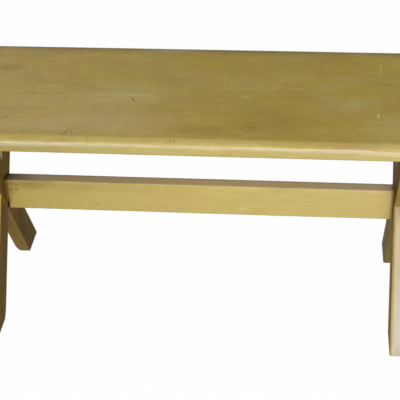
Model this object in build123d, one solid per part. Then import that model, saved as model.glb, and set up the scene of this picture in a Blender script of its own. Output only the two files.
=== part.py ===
from build123d import *
from math import acos, atan2, cos, degrees, hypot, sin, tan
import os

# Porch bench: a plank seat on two crossed-board trestles, tied by one stretcher.
# Millimetres. +X runs along the seat, the front is at -Y, the floor is at Z = 0,
# and the origin is on the floor under the middle of the seat.

# Seat: two boards glued edge to edge
SEAT_HEIGHT = 453.5
SEAT_LENGTH = 1067.0
SEAT_DEPTH = 371.5
SEAT_THICKNESS = 29.0
SEAM_OFFSET = 19.5
SEAT_CORNER_ROUND = 15.0
SEAT_BEVEL_WIDTH = 14.0
SEAT_BEVEL_DROP = 6.0
SEAT_NOSE_ROUND = 13.0
SEAT_BOTTOM_ROUND = 3.0

# Dowels hidden in the seat's glued joint, between the trestles
DOWEL_COUNT = 5
DOWEL_DIAMETER = 10.0
DOWEL_LENGTH = 50.0
DOWEL_LEG_MARGIN = 55.0
DOWEL_CHAMFER = 1.0
DOWEL_CLEARANCE = 0.15

# Trestles: two legs each, halved into each other where they cross
SEAT_OVERHANG = 131.4
LEG_THICKNESS = 28.6
LEG_WIDTH = 61.5
FOOT_SETBACK = 0.6
ARM_SETBACK = 32.0
LEG_ARRIS_ROUND = 2.5
SOLE_ROUND = 1.5
LAP_CLEARANCE = 0.15

# Stretcher: a board on edge between the two crossings
STRETCHER_HEIGHT = 65.0
STRETCHER_THICKNESS = 27.2
STRETCHER_DROP = 11.5
STRETCHER_ARRIS_ROUND = 2.5

# Cleats: battens outside the legs' tops, under the seat
CLEAT_HEIGHT = 40.0
CLEAT_THICKNESS = 24.0
CLEAT_SETBACK = 2.0
CLEAT_ARRIS_ROUND = 1.5

# Countersunk wood screws: how much of each is held, and where each stands
SCREW_CLEARANCE = 0.15
STRETCHER_SCREW_DIAMETER = 5.0
STRETCHER_SCREW_BITE = 52.0
STRETCHER_SCREW_EDGE = 12.8
LAP_SCREW_DIAMETER = 4.5
LAP_SCREW_COVER = 4.0
LAP_SCREW_SHARE = 0.6
CLEAT_SCREW_DIAMETER = 4.5
CLEAT_SCREW_BITE = 20.0
CLEAT_SCREW_SHARES = (0.3, 0.74)
SEAT_SCREW_DIAMETER = 5.0
SEAT_SCREW_COVER = 8.0
SEAT_SCREW_SINK = 12.0
SEAT_SCREW_SHARES = (-0.66, -0.45, 0.45, 0.66)

# One screw's shape, as shares of its own diameter and length
HEAD_WIDTH_SHARE = 2.0
HEAD_DEPTH_SHARE = 0.55
SLOT_WIDTH_SHARE = 0.24
SLOT_DEPTH_SHARE = 0.28
THREAD_WIDTH_SHARE = 0.86
THREAD_START_SHARE = 0.35
POINT_LENGTH_SHARE = 1.4
SLOT_TURN = 57.0

# Nails driven at a slant through the stretcher's faces into the crossings
NAIL_DIAMETER = 2.5
NAIL_HEAD_DIAMETER = 3.4
NAIL_HEAD_DEPTH = 1.5
NAIL_POINT_LENGTH = 4.0
NAIL_SINK = 3.0
NAIL_BITE = 20.0
NAIL_SETBACK = 25.8
NAIL_EDGE = 20.4
NAIL_CLEARANCE = 0.15

# How far a cutting shape runs past the face that it opens
OVERRUN = 5.0

# The trestle's lines, worked out from the seat: each leg runs from a foot just
# inside one long edge of the seat to a top just inside the other
under_seat = SEAT_HEIGHT - SEAT_THICKNESS
foot_reach = SEAT_DEPTH / 2 - FOOT_SETBACK
arm_reach = SEAT_DEPTH / 2 - ARM_SETBACK
reach_sum = foot_reach + arm_reach
slope = acos(LEG_WIDTH / hypot(reach_sum, under_seat)) - atan2(under_seat, reach_sum)
leg_half_cut = LEG_WIDTH / 2 / cos(slope)
foot_centre = foot_reach - leg_half_cut
crossing_height = foot_centre / tan(slope)
leg_outer = SEAT_LENGTH / 2 - SEAT_OVERHANG
leg_inner = leg_outer - LEG_THICKNESS
leg_middle = leg_inner + LEG_THICKNESS / 2
cleat_outer = leg_outer + CLEAT_THICKNESS
stretcher_middle = crossing_height - STRETCHER_DROP
front = -1
back = 1
left = -1
right = 1
side_names = {left: "left", right: "right"}


def arm_line(height):
    """How far a leg's centre line stands from the middle at this height."""
    return abs(height - crossing_height) * tan(slope)


def prism(points, start, end):
    """A solid whose outline is drawn in Y and Z, from X = start to X = end."""
    outline = Plane.YZ * make_face(Polyline(*points, close=True))
    return Pos(start, 0, 0) * extrude(outline, end - start, dir=(1, 0, 0))


def revolve_outline(points):
    """A solid of revolution about Z from points given as (radius, height)."""
    outline = make_face(Polyline(*points, close=True))
    return revolve(Plane.XZ * outline, Axis.Z)


def aimed(shape, start, direction, turn=0.0):
    """Places a fastener with its head at start and its point along direction."""
    return Plane(origin=start, z_dir=direction) * Rot(0, 0, turn) * shape


# One leg runs up from the foot on the side given, and leans over to the other side
def leg_blank(side, foot):
    foot_y = foot * foot_centre
    arm_y = -foot * arm_line(under_seat)
    points = [
        (foot_y - leg_half_cut, 0),
        (foot_y + leg_half_cut, 0),
        (arm_y + leg_half_cut, under_seat),
        (arm_y - leg_half_cut, under_seat),
    ]
    start, end = sorted((side * leg_inner, side * leg_outer))
    board = prism(points, start, end)
    grain = Axis((0, 0, 0), (0, -foot * sin(slope), cos(slope)))
    board = fillet(board.edges().filter_by(grain), LEG_ARRIS_ROUND)
    return fillet(board.edges().group_by(Axis.Z)[0], SOLE_ROUND)


# The other leg's passage through this one: a bar along the other leg's line, over
# the half of the thickness that the other leg keeps
def lap_notch(side, foot, keeps_inner):
    face = leg_outer if keeps_inner else leg_inner
    past_face = face + OVERRUN if keeps_inner else face - OVERRUN
    start, end = sorted((side * leg_middle, side * past_face))
    half = leg_half_cut + LAP_CLEARANCE / cos(slope)
    low = crossing_height - LEG_WIDTH / sin(slope)
    high = crossing_height + LEG_WIDTH / sin(slope)
    low_y = -foot * arm_line(low)
    high_y = foot * arm_line(high)
    points = [(low_y - half, low), (low_y + half, low), (high_y + half, high), (high_y - half, high)]
    return prism(points, start, end)


def leg(side, foot, holes):
    keeps_inner = foot == front
    return leg_blank(side, foot) - lap_notch(side, foot, keeps_inner) - holes


def cleat(side, holes):
    top_reach = arm_reach - CLEAT_SETBACK
    low_reach = top_reach - CLEAT_HEIGHT * tan(slope)
    low = under_seat - CLEAT_HEIGHT
    points = [(-low_reach, low), (low_reach, low), (top_reach, under_seat), (-top_reach, under_seat)]
    start, end = sorted((side * leg_outer, side * cleat_outer))
    batten = prism(points, start, end)
    outer_face = batten.faces().sort_by(Axis.X)[0 if side == left else -1]
    low_edge = outer_face.edges().sort_by(Axis.Z)[0]
    end_edges = outer_face.edges().sort_by(Axis.Y)
    soft_edges = [low_edge, end_edges[0], end_edges[-1]]
    return fillet(soft_edges, CLEAT_ARRIS_ROUND) - holes


def stretcher(holes):
    board = Pos(0, 0, stretcher_middle) * Box(2 * leg_inner, STRETCHER_THICKNESS, STRETCHER_HEIGHT)
    return fillet(board.edges().filter_by(Axis.X), STRETCHER_ARRIS_ROUND) - holes


def rim(board, height, seam_end):
    """A seat board's edges at this height, apart from those along the seam."""
    seam_edges = board.faces().sort_by(Axis.Y)[seam_end].edges()
    level = board.edges().filter_by_position(Axis.Z, height, height)
    return [line for line in level if line not in seam_edges]


# A seat board lies from the seam to one long edge of the seat. Its three free sides
# are planed to a shallow bevel with a round nose, and the seam's side stays square
def seat_board(edge, holes):
    seam = -SEAM_OFFSET
    free_edge = edge * SEAT_DEPTH / 2
    width = abs(free_edge - seam)
    middle = Vector(0, (free_edge + seam) / 2, SEAT_HEIGHT - SEAT_THICKNESS / 2)
    board = Pos(middle) * Box(SEAT_LENGTH, width, SEAT_THICKNESS)
    free_end, seam_end = (0, -1) if edge == front else (-1, 0)
    corners = board.edges().filter_by(Axis.Z).group_by(Axis.Y)[free_end]
    board = fillet(corners, SEAT_CORNER_ROUND)
    top = board.faces().sort_by(Axis.Z)[-1]
    board = chamfer(rim(board, SEAT_HEIGHT, seam_end), SEAT_BEVEL_WIDTH, SEAT_BEVEL_DROP, reference=top)
    board = fillet(rim(board, SEAT_HEIGHT - SEAT_BEVEL_DROP, seam_end), SEAT_NOSE_ROUND)
    board = fillet(rim(board, under_seat, seam_end), SEAT_BOTTOM_ROUND)
    return board - holes


def dowel(diameter, length, chamfer_size):
    return chamfer(Cylinder(diameter / 2, length).edges(), chamfer_size)


def dowel_places():
    first = DOWEL_LEG_MARGIN - leg_inner
    pitch = -2 * first / (DOWEL_COUNT - 1)
    height = SEAT_HEIGHT - SEAT_THICKNESS / 2
    return [Pos(first + index * pitch, -SEAM_OFFSET, height) * Rot(90, 0, 0) for index in range(DOWEL_COUNT)]


def screw(diameter, length):
    head = diameter * HEAD_WIDTH_SHARE / 2
    shank = diameter / 2
    thread = shank * THREAD_WIDTH_SHARE
    head_depth = diameter * HEAD_DEPTH_SHARE
    thread_start = length * THREAD_START_SHARE
    point_start = length - diameter * POINT_LENGTH_SHARE
    body = revolve_outline([
        (0, 0),
        (head, 0),
        (shank, head_depth),
        (shank, thread_start),
        (thread, thread_start),
        (thread, point_start),
        (0, length),
    ])
    slot = Box(2 * head, diameter * SLOT_WIDTH_SHARE, 2 * diameter * SLOT_DEPTH_SHARE)
    return body - slot


def screw_hole(diameter, length, sink):
    """The room that a screw needs, from outside the wood to just past its point."""
    head = diameter * HEAD_WIDTH_SHARE / 2 + SCREW_CLEARANCE
    shank = diameter / 2 + SCREW_CLEARANCE
    return revolve_outline([
        (0, -sink - OVERRUN),
        (head, -sink - OVERRUN),
        (head, 0),
        (shank, diameter * HEAD_DEPTH_SHARE),
        (shank, length - diameter * POINT_LENGTH_SHARE),
        (0, length + SCREW_CLEARANCE),
    ])


def nail(length):
    return revolve_outline([
        (0, 0),
        (NAIL_HEAD_DIAMETER / 2, 0),
        (NAIL_HEAD_DIAMETER / 2, NAIL_HEAD_DEPTH),
        (NAIL_DIAMETER / 2, NAIL_HEAD_DEPTH),
        (NAIL_DIAMETER / 2, length - NAIL_POINT_LENGTH),
        (0, length),
    ])


def nail_hole(length):
    head = NAIL_HEAD_DIAMETER / 2 + NAIL_CLEARANCE
    shank = NAIL_DIAMETER / 2 + NAIL_CLEARANCE
    return revolve_outline([
        (0, -NAIL_SINK - OVERRUN),
        (head, -NAIL_SINK - OVERRUN),
        (head, NAIL_HEAD_DEPTH),
        (shank, NAIL_HEAD_DEPTH),
        (shank, length - NAIL_POINT_LENGTH),
        (0, length + NAIL_CLEARANCE),
    ])


# Each set of fasteners is (solids, holes): the holes are cut with the same places
def screw_set(diameter, length, starts, direction, sink=0.0):
    solids = []
    holes = []
    for index, start in enumerate(starts):
        turn = index * SLOT_TURN
        solids.append(aimed(screw(diameter, length), start, direction, turn))
        holes.append(aimed(screw_hole(diameter, length, sink), start, direction))
    return solids, holes


def stretcher_screws(side):
    offset = STRETCHER_HEIGHT / 2 - STRETCHER_SCREW_EDGE
    starts = [(side * leg_outer, 0, stretcher_middle + way * offset) for way in (-1, 1)]
    return screw_set(STRETCHER_SCREW_DIAMETER, LEG_THICKNESS + STRETCHER_SCREW_BITE, starts, (-side, 0, 0))


def lap_screws(side):
    offset = leg_half_cut * LAP_SCREW_SHARE
    starts = [(side * leg_outer, way * offset, crossing_height) for way in (-1, 1)]
    return screw_set(LAP_SCREW_DIAMETER, LEG_THICKNESS - LAP_SCREW_COVER, starts, (-side, 0, 0))


def cleat_screws(side):
    starts = []
    for arm in (front, back):
        for share in CLEAT_SCREW_SHARES:
            height = under_seat - CLEAT_HEIGHT * share
            starts.append((side * cleat_outer, arm * arm_line(height), height))
    return screw_set(CLEAT_SCREW_DIAMETER, CLEAT_THICKNESS + CLEAT_SCREW_BITE, starts, (-side, 0, 0))


def seat_screws(side):
    head_height = under_seat - CLEAT_HEIGHT + SEAT_SCREW_SINK
    length = SEAT_HEIGHT - SEAT_SCREW_COVER - head_height
    reach = arm_reach - CLEAT_SETBACK - CLEAT_HEIGHT * tan(slope)
    middle = side * (leg_outer + cleat_outer) / 2
    starts = [(middle, share * reach, head_height) for share in SEAT_SCREW_SHARES]
    return screw_set(SEAT_SCREW_DIAMETER, length, starts, (0, 0, 1), SEAT_SCREW_SINK)


# A nail starts on one face of the stretcher and crosses its middle at the end face
def toe_nail(side, face):
    run = hypot(NAIL_SETBACK, STRETCHER_THICKNESS / 2)
    direction = Vector(side * NAIL_SETBACK, -face * STRETCHER_THICKNESS / 2, 0) / run
    height = stretcher_middle + STRETCHER_HEIGHT / 2 - NAIL_EDGE
    on_face = Vector(side * (leg_inner - NAIL_SETBACK), face * STRETCHER_THICKNESS / 2, height)
    start = on_face + direction * NAIL_SINK
    length = run - NAIL_SINK + NAIL_BITE
    return aimed(nail(length), start, direction), aimed(nail_hole(length), start, direction)


def build_nodes():
    nodes = {}
    dowels = [place * dowel(DOWEL_DIAMETER, DOWEL_LENGTH, DOWEL_CHAMFER) for place in dowel_places()]
    room = (DOWEL_DIAMETER + 2 * DOWEL_CLEARANCE, DOWEL_LENGTH + 2 * DOWEL_CLEARANCE, DOWEL_CHAMFER)
    seat_holes = [place * dowel(*room) for place in dowel_places()]
    nodes["seat_joint_dowels"] = dowels
    left_nail, left_nail_hole = toe_nail(left, front)
    right_nail, right_nail_hole = toe_nail(right, back)
    nodes["stretcher_nails"] = [left_nail, right_nail]
    nail_holes = {left: left_nail_hole, right: right_nail_hole}
    stretcher_holes = [left_nail_hole, right_nail_hole]
    for side in (left, right):
        name = side_names[side]
        long_screws, long_holes = stretcher_screws(side)
        short_screws, short_holes = lap_screws(side)
        batten_screws, batten_holes = cleat_screws(side)
        board_screws, board_holes = seat_screws(side)
        leg_holes = long_holes + short_holes + batten_holes + [nail_holes[side]]
        nodes[name + "_front_foot_leg"] = [leg(side, front, leg_holes)]
        nodes[name + "_back_foot_leg"] = [leg(side, back, leg_holes)]
        nodes[name + "_cleat"] = [cleat(side, batten_holes + board_holes)]
        nodes[name + "_stretcher_screws"] = long_screws
        nodes[name + "_lap_screws"] = short_screws
        nodes[name + "_cleat_screws"] = batten_screws
        nodes[name + "_seat_screws"] = board_screws
        stretcher_holes += long_holes
        seat_holes += board_holes
    nodes["stretcher"] = [stretcher(stretcher_holes)]
    nodes["seat_board_front"] = [seat_board(front, seat_holes)]
    nodes["seat_board_back"] = [seat_board(back, seat_holes)]
    return nodes


def main():
    os.makedirs("parts", exist_ok=True)
    for name, solids in build_nodes().items():
        shape = solids[0] if len(solids) == 1 else Compound(children=solids)
        export_step(shape, f"parts/{name}.step")
    print("slope of the legs from upright, degrees:", round(degrees(slope), 2))
    print("height of the crossings:", round(crossing_height, 1))


if __name__ == "__main__":
    main()
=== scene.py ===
import math

import bmesh
import bpy
from mathutils import Matrix, Vector


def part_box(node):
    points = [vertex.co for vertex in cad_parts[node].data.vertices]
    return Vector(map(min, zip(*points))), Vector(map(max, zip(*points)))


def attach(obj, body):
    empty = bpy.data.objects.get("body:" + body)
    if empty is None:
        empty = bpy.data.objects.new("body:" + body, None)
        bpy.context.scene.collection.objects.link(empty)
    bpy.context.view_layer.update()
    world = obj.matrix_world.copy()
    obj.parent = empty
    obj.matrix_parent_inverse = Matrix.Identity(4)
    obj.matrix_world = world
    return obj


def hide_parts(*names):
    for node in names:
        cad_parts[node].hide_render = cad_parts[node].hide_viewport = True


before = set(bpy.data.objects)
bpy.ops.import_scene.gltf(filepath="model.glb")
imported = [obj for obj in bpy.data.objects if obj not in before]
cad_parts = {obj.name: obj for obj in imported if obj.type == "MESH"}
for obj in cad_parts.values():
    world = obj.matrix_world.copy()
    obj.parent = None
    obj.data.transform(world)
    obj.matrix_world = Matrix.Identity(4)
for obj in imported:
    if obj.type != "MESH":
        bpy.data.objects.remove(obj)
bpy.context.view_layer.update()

# A painted timber bench: a plank seat of two glued boards on two crossed-board
# trestles, tied by a stretcher. Metres, +X along the seat, the front at -Y.
MM = 0.001
SIDES = ("left", "right")
FEET = {"front": -1, "back": 1}  # the way along Y in which each leg's foot stands
LEG_LEAN = math.radians(32.1)

# Places read from the frame
seat_low, seat_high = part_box("seat_board_front")
rail_low, rail_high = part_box("stretcher")
seam_y = seat_high.y
seat_top = seat_high.z
seat_front = seat_low.y
seat_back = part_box("seat_board_back")[1].y
rail_front = rail_low.y
rail_half = rail_high.x


def colour(code):
    """Turns a colour that is written as sRGB hex to linear."""
    parts = [int(code[i:i + 2], 16) / 255 for i in (1, 3, 5)]
    linear = [c / 12.92 if c <= 0.04045 else ((c + 0.055) / 1.055) ** 2.4 for c in parts]
    return (*linear, 1.0)


def feed(tree, socket, value):
    """Links a node or an output into this socket, or sets its value."""
    if isinstance(value, bpy.types.Node):
        value = next(output for output in value.outputs if output.enabled)
    if isinstance(value, bpy.types.NodeSocket):
        tree.links.new(value, socket)
    else:
        socket.default_value = value


def add(tree, kind, inputs=None, **settings):
    """Adds a node with its settings, and sets or links its inputs."""
    made = tree.nodes.new(kind)
    for name, value in settings.items():
        setattr(made, name, value)
    for name, value in (inputs or {}).items():
        feed(tree, made.inputs[name], value)
    return made


def new_material(name):
    material = bpy.data.materials.new(name)
    material.use_nodes = True
    return material, material.node_tree


def link(name, mesh):
    made = bpy.data.objects.new(name, mesh)
    bpy.context.scene.collection.objects.link(made)
    return made


# Camera, fitted to the photograph's edges, in metres, degrees and pixels
CAMERA_PLACE = (0.20545, -1.88355, 1.44776)
CAMERA_YAW = -6.038
CAMERA_PITCH = 33.02
CAMERA_ROLL = -1.587
FOCAL_PIXELS = 1170.93
FRAME_PIXELS = 400
SENSOR_MM = 36.0


def make_camera():
    yaw, pitch, roll = (math.radians(a) for a in (CAMERA_YAW, CAMERA_PITCH, CAMERA_ROLL))
    ahead = Vector((math.sin(yaw) * math.cos(pitch), math.cos(yaw) * math.cos(pitch), -math.sin(pitch)))
    level = Vector((math.cos(yaw), -math.sin(yaw), 0))
    down = ahead.cross(level)
    right = level * math.cos(roll) - down * math.sin(roll)
    up = -(level * math.sin(roll) + down * math.cos(roll))
    data = bpy.data.cameras.new("camera")
    data.sensor_width = SENSOR_MM
    data.lens = FOCAL_PIXELS / FRAME_PIXELS * SENSOR_MM
    camera = bpy.data.objects.new("camera", data)
    turn = Matrix((right, up, -ahead)).transposed().to_4x4()
    camera.matrix_world = Matrix.Translation(CAMERA_PLACE) @ turn
    bpy.context.scene.collection.objects.link(camera)
    bpy.context.scene.camera = camera


# Light: a tall soft window in front, a weak ceiling light and a fill from behind, each
# with its place, what it points at, its width, height and watts
LAMPS = {
    "front_window": ((0.25, -3.3, 1.15), (0, 0, 0.35), 3.0, 2.3, 122),
    "ceiling": ((0.0, 0.0, 3.9), (0, 0, 0.4), 2.0, 1.6, 23),
    "back_fill": ((0.0, 3.2, 0.9), (0, 0, 0.35), 3.0, 1.2, 30),
}
AMBIENT = 0.03
WHITE, PALE, FLOOR_GREY = "#FFFFFF", "#F9F9F9", "#857D6E"
FLOOR_GLOW_SHARE, FLOOR_HALF, FLOOR_DROP = 0.985, 20.0, 0.2 * MM


def make_lamps():
    for name, (place, aim, width, height, watts) in LAMPS.items():
        data = bpy.data.lights.new(name, "AREA")
        data.shape = "RECTANGLE"
        data.size = width
        data.size_y = height
        data.energy = watts
        lamp = link(name, data)
        lamp.location = place
        lamp.rotation_euler = (Vector(aim) - Vector(place)).to_track_quat("-Z", "Y").to_euler()
        lamp.visible_glossy = name != "back_fill"


def seen_directly(tree):
    """1 for camera, glossy and transmission rays, which see the white backdrop."""
    path = add(tree, "ShaderNodeLightPath").outputs
    first = add(tree, "ShaderNodeMath", {0: path["Is Camera Ray"], 1: path["Is Glossy Ray"]}, operation="MAXIMUM")
    return add(tree, "ShaderNodeMath", {0: first, 1: path["Is Transmission Ray"]}, operation="MAXIMUM")


def make_world():
    world = bpy.data.worlds.new("studio")
    world.use_nodes = True
    tree = world.node_tree
    tree.nodes.clear()
    white = add(tree, "ShaderNodeBackground", {"Color": colour(WHITE), "Strength": 1.0})
    soft = add(tree, "ShaderNodeBackground", {"Color": colour(WHITE), "Strength": AMBIENT})
    mixed = add(tree, "ShaderNodeMixShader", {0: seen_directly(tree), 1: soft, 2: white})
    add(tree, "ShaderNodeOutputWorld", {"Surface": mixed})
    bpy.context.scene.world = world


def make_floor():
    mesh = bpy.data.meshes.new("floor")
    corners = [(x * FLOOR_HALF, y * FLOOR_HALF, 0) for x, y in ((-1, -1), (1, -1), (1, 1), (-1, 1))]
    mesh.from_pydata(corners, [], [(0, 1, 2, 3)])
    floor = link("floor", mesh)
    floor.location.z = -FLOOR_DROP
    material, tree = new_material("pale_studio_floor")
    tree.nodes.clear()
    grey = add(tree, "ShaderNodeBsdfDiffuse", {"Color": colour(FLOOR_GREY)})
    pale = add(tree, "ShaderNodeBsdfDiffuse", {"Color": colour(PALE)})
    glow = add(tree, "ShaderNodeEmission", {"Color": colour(WHITE), "Strength": 1.0})
    shown = add(tree, "ShaderNodeMixShader", {0: FLOOR_GLOW_SHARE, 1: pale, 2: glow})
    mixed = add(tree, "ShaderNodeMixShader", {0: seen_directly(tree), 1: grey, 2: shown})
    add(tree, "ShaderNodeOutputMaterial", {"Surface": mixed})
    mesh.materials.append(material)


# Materials are built up in layers: each is a tone, and the masks that it shows through
def patches(tree, place, length, width, low, high, seed, detail=2.0, roughness=0.5):
    """A mask from 0 to 1 of patches this long along the grain and this wide across it."""
    sized = add(tree, "ShaderNodeMapping", {"Vector": place, "Location": (seed * 7.3, seed * 3.1, seed * 5.7),
                                            "Scale": (1 / length, 1 / width, 1 / width)})
    noise = add(tree, "ShaderNodeTexNoise", {"Vector": sized, "Scale": 1.0, "Detail": detail,
                                             "Roughness": roughness}).outputs["Fac"]
    return add(tree, "ShaderNodeMapRange", {"Value": noise, "From Min": low, "From Max": high},
               interpolation_type="SMOOTHSTEP")


def overlap(tree, *masks):
    """Where all of these masks and plain strengths hold."""
    held = masks[0]
    for mask in masks[1:]:
        held = add(tree, "ShaderNodeMath", {0: held, 1: mask}, operation="MULTIPLY")
    return held


def fade(tree, measure, none, full, end=None, gone=None):
    """A mask that rises from none to full and, where they are given, falls from end to gone."""
    rise = add(tree, "ShaderNodeMapRange", {"Value": measure, "From Min": none, "From Max": full})
    if end is None:
        return rise
    fall = add(tree, "ShaderNodeMapRange", {"Value": measure, "From Min": gone, "From Max": end})
    return overlap(tree, rise, fall)


# Marks on the boards: place on the surface, the way it faces, the turn of its length
# about that way in degrees, its half sizes in mm (length, width, depth), its tone and
# strength
BEVEL_WIDTH, BEVEL_DROP = 14 * MM, 6 * MM


def on_seat(x, y):
    """A place on the seat's top, or on its front bevel, and how that faces."""
    past = max(seat_front + BEVEL_WIDTH - y * MM, 0.0)
    tilt = math.atan2(BEVEL_DROP, BEVEL_WIDTH) if past else 0.0
    face = Vector((0, -math.sin(tilt), math.cos(tilt)))
    return Vector((x * MM, y * MM, seat_top - past * math.tan(tilt))), face


def on_rail(x, height):
    """A place on the stretcher's front face, measured up from its lower edge."""
    return Vector((x * MM, rail_front, rail_low.z + height * MM)), Vector((0, -1, 0))


BARE_WOOD, OLD_DIRT, GAP_SHADE = "#F2E6C2", "#785A1E", "#3E3015"
# Scratches and gouges, which are cut into the wood as well
SEAT_CUTS = [
    (*on_seat(-106.0, -37.3), -62, (10.0, 1.0, 0.8), "#75602C", 0.65),
    (*on_seat(-320.0, -112.5), 20, (1.9, 1.4, 0.8), OLD_DIRT, 0.8),
    (*on_seat(-364.0, 73.0), 10, (2.6, 1.5, 0.6), OLD_DIRT, 0.6),
    (*on_seat(330.6, -77.5), 86, (7.5, 1.3, 0.6), BARE_WOOD, 1.0),
    (*on_seat(-203.5, -157.0), 88, (15.0, 0.7, 0.5), OLD_DIRT, 0.75),
    (*on_seat(-196.5, -159.0), 106, (17.0, 0.7, 0.5), OLD_DIRT, 0.75),
    (*on_seat(-208.5, -165.0), 84, (14.0, 0.7, 0.5), OLD_DIRT, 0.7),
    (*on_seat(-166.0, -173.0), 82, (9.0, 0.8, 0.5), OLD_DIRT, 0.75),
    (*on_seat(-117.0, -153.0), 88, (9.0, 0.6, 0.4), OLD_DIRT, 0.45),
    (*on_seat(-23.3, -176.0), 86, (6.5, 0.8, 0.5), OLD_DIRT, 0.75),
    (*on_seat(-16.5, -176.0), 86, (6.5, 0.8, 0.5), OLD_DIRT, 0.75),
]
RAIL_CUTS = [
    (*on_rail(-193.0, 15.5), 0, (1.8, 1.2, 0.4), OLD_DIRT, 0.6),
]
# Rubs, stains and scuffs that only colour the paint, and painted shade in the gap beside the left leg
SEAT_RUBS = [
    (*on_seat(247.0, 23.0), 8, (34.0, 15.0, 9.0), "#E2D6A0", 0.3),
    (*on_seat(184.0, 16.0), 0, (24.0, 6.0, 9.0), "#E2D6A0", 0.28),
    (*on_seat(249.0, -16.0), 2, (22.0, 9.0, 9.0), "#E2D6A0", 0.28),
    (*on_seat(295.0, -40.0), 14, (46.0, 34.0, 9.0), "#DCCB84", 0.22),
    (*on_seat(341.6, 98.0), 86, (36.0, 1.6, 9.0), "#F0E4BC", 0.5),
    (*on_seat(346.0, 41.0), 1, (26.0, 2.0, 9.0), "#7E6228", 0.5),
    (*on_seat(110.0, -134.0), 0, (20.0, 15.0, 9.0), "#8A6424", 0.4),
    (*on_seat(150.0, -95.0), 12, (70.0, 52.0, 9.0), "#9A7030", 0.3),
    (*on_seat(20.0, -140.0), 4, (60.0, 16.0, 9.0), "#8C6A30", 0.25),
    (*on_seat(-55.0, 165.0), 0, (60.0, 12.0, 9.0), "#D8BE86", 0.5),
    (*on_seat(350.0, -128.0), 0, (80.0, 60.0, 9.0), "#E8D48A", 0.45),
    (*on_seat(-361.0, 80.0), 6, (34.0, 18.0, 9.0), "#8A6A3C", 0.35),
    (*on_seat(-250.0, -135.0), 3, (110.0, 30.0, 9.0), "#E2CA92", 0.6),
    (*on_seat(-120.0, -120.0), 0, (110.0, 48.0, 9.0), "#E2C88C", 0.55),
    (*on_seat(-125.0, -25.0), 4, (110.0, 60.0, 9.0), "#EAD8A2", 0.3),
    (*on_seat(135.0, 102.0), 0, (130.0, 45.0, 9.0), "#BE9C14", 0.35),
    (*on_seat(-20.0, -120.0), 0, (180.0, 30.0, 9.0), "#DCAC52", 0.2),
    (*on_seat(272.0, -45.0), 0, (60.0, 45.0, 9.0), "#E6D48E", 0.25),
]
RAIL_RUBS = [
    # Painted shade in the gap where the stretcher meets the left leg
    (*on_rail(-366.5, 16.2), 84, (16.0, 2.6, 9.0), GAP_SHADE, 1.0),
    (*on_rail(-367.5, 50.2), 84, (12.0, 2.0, 9.0), GAP_SHADE, 0.6),
    (*on_rail(-361.0, 18.2), 80, (12.0, 1.2, 9.0), OLD_DIRT, 0.7),
    (*on_rail(-357.0, 20.2), 84, (9.0, 1.0, 9.0), "#E0CC90", 0.3),
    (*on_rail(-372.0, 42.0), 90, (34.0, 16.0, 9.0), "#7E682C", 1.0),
    (*on_rail(-366.0, 54.0), 90, (22.0, 22.0, 9.0), "#7E682C", 0.6),
    (*on_rail(335.0, 62.2), 0, (34.0, 7.0, 9.0), "#E0C09A", 0.45),
    (*on_rail(-70.0, 72.2), 2, (26.0, 4.0, 9.0), "#A8843E", 0.5),
    (*on_rail(-150.0, 66.2), 6, (18.0, 5.0, 9.0), "#A8843E", 0.4),
    (*on_rail(90.0, 15.2), 0, (10.0, 4.0, 9.0), "#E9DFB8", 0.4),
    (*on_rail(160.0, 58.2), 20, (22.0, 10.0, 9.0), "#A98B48", 0.25),
    (*on_rail(-230.0, 50.2), 12, (50.0, 14.0, 9.0), "#A98B48", 0.25),
    (*on_rail(-318.0, 57.0), 2, (50.0, 13.0, 9.0), "#8A7238", 0.5),
    (*on_rail(-193.0, 15.5), 0, (6.0, 3.5, 9.0), "#9A8244", 0.7),
]
# Stains that soak right in round the nail, and painted shade with dirt in the crack beside the leg
RAIL_STAINS_AND_SHADE = [
    (*on_rail(-347.7, 44.6), 0, (4.5, 4.5, 9.0), "#B09650", 1.0),
    (*on_rail(-373.5, 42.0), 90, (32.0, 9.0, 9.0), "#5A4618", 0.85),
    (*on_rail(-368.2, 8.0), 90, (11.0, 2.2, 9.0), "#241A06", 1.0),
]
# A rubbed arris on the left trestle, lightened further as a painted highlight
LEG_RUB_HIGHLIGHTS = [
    (Vector((-375.5, -16.0, 205.0)) * MM, Vector((0, -math.cos(LEG_LEAN), -math.sin(LEG_LEAN))), 90,
     (40.0, 4.0, 5.0), "#D6BC68", 0.8),
]
BOARD_CUTS = {"seat_board_front": SEAT_CUTS, "seat_board_back": SEAT_CUTS, "stretcher": RAIL_CUTS}
# How far the tone of a mark spreads past its half sizes, which are 1 here, and where in
# them it is full. It ends at MARK_END
CUT_SPREADS, PLAIN_SPREADS = (1.1, 1.35, 2.5), (1.0, 1.0, 1.0)
CUT_FULL, STAIN_FULL, RUB_FULL, MARK_END = 0.75, 0.5, 0.2, 1.2


def mark_turn(face, turn):
    """The rotation that lays a mark's length, width and depth on its surface."""
    across = Vector((1, 0, 0))
    flat = (across - face * across.dot(face)).normalized()
    lay = Matrix((flat, face.cross(flat), face)).transposed()
    return lay @ Matrix.Rotation(math.radians(turn), 3, "Z")


def mark_layers(tree, place, marks, spreads, full):
    """The tone of each mark, which fades outward from where it is full."""
    layers = []
    for spot, face, turn, half_sizes, tone, strength in marks:
        sizes = tuple(size * MM * spread for size, spread in zip(half_sizes, spreads))
        laid = mark_turn(face, turn).to_euler()
        inside = add(tree, "ShaderNodeMapping", {"Vector": place, "Location": spot, "Rotation": laid, "Scale": sizes},
                     vector_type="TEXTURE")
        reach = add(tree, "ShaderNodeVectorMath", {0: inside}, operation="LENGTH").outputs["Value"]
        layers.append((tone, fade(tree, reach, MARK_END, full), strength))
    return layers


def rub_layers(tree, place, grain, rubs, seed):
    """Soft rubs and stains, with some painted shade and highlights, broken up along the grain."""
    broken = patches(tree, grain, 30 * MM, 8 * MM, 0.15, 0.6, seed + 23, 4.0, 0.6)
    return [(*layer, broken) for layer in mark_layers(tree, place, rubs, PLAIN_SPREADS, RUB_FULL)]
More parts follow.
